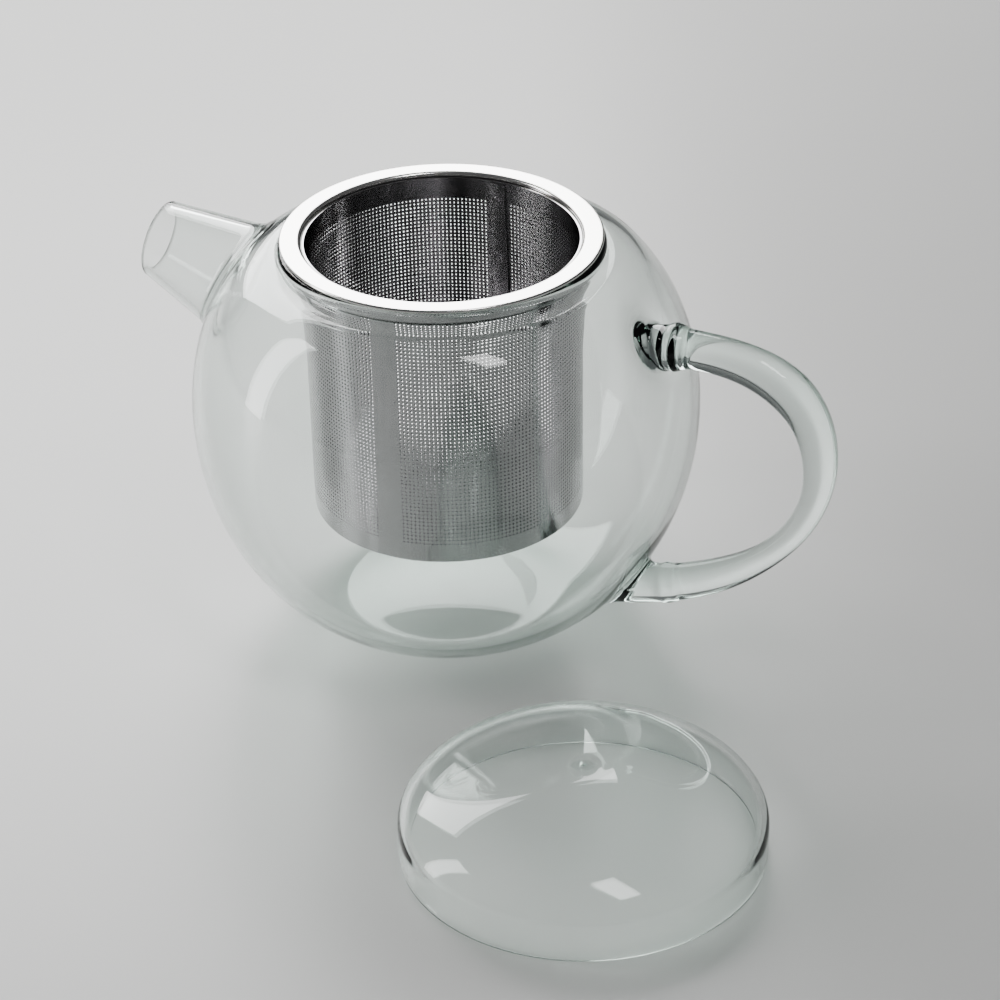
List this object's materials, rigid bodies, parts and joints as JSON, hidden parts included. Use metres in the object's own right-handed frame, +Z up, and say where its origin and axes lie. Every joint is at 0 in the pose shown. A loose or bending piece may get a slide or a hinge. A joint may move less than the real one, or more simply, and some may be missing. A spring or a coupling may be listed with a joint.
{
  "type": "glass teapot with infuser",
  "caption": "Round clear glass teapot with a short straight spout and a loop handle, a drop-in perforated steel infuser and a loose domed glass lid.",
  "frame": {"origin": "centre of the bowl's flat base, on the surface that the teapot stands on", "axes": "+Z up along the bowl's axis, the spout along -X and the handle along +X; the lid lies on the same surface at +X -Y"},
  "size_m": [0.1927, 0.1892, 0.1018],
  "materials": {
    "clear_glass": "clear blown borosilicate glass, polished",
    "satin_steel": "satin pressed stainless steel",
    "sheet_steel": "bright perforated stainless sheet"
  },
  "bodies": {
    "pot": {"glass_bowl": "clear_glass", "spout_tube": "clear_glass", "handle_rod": "clear_glass"},
    "infuser": {"infuser_flange": "satin_steel", "infuser_sleeve": "sheet_steel", "infuser_strainer": "sheet_steel"},
    "lid": {"lid_dome": "clear_glass"}
  },
  "joints": [
    {"name": "infuser_lift", "type": "slide", "parent": "pot", "child": "infuser", "axis": [0, 0, 1], "range_m": [0, 0.08]},
    {"name": "lid_lift", "type": "slide", "parent": "pot", "child": "lid", "axis": [0, 0, 1], "range_m": [0, 0.12]}
  ]
}
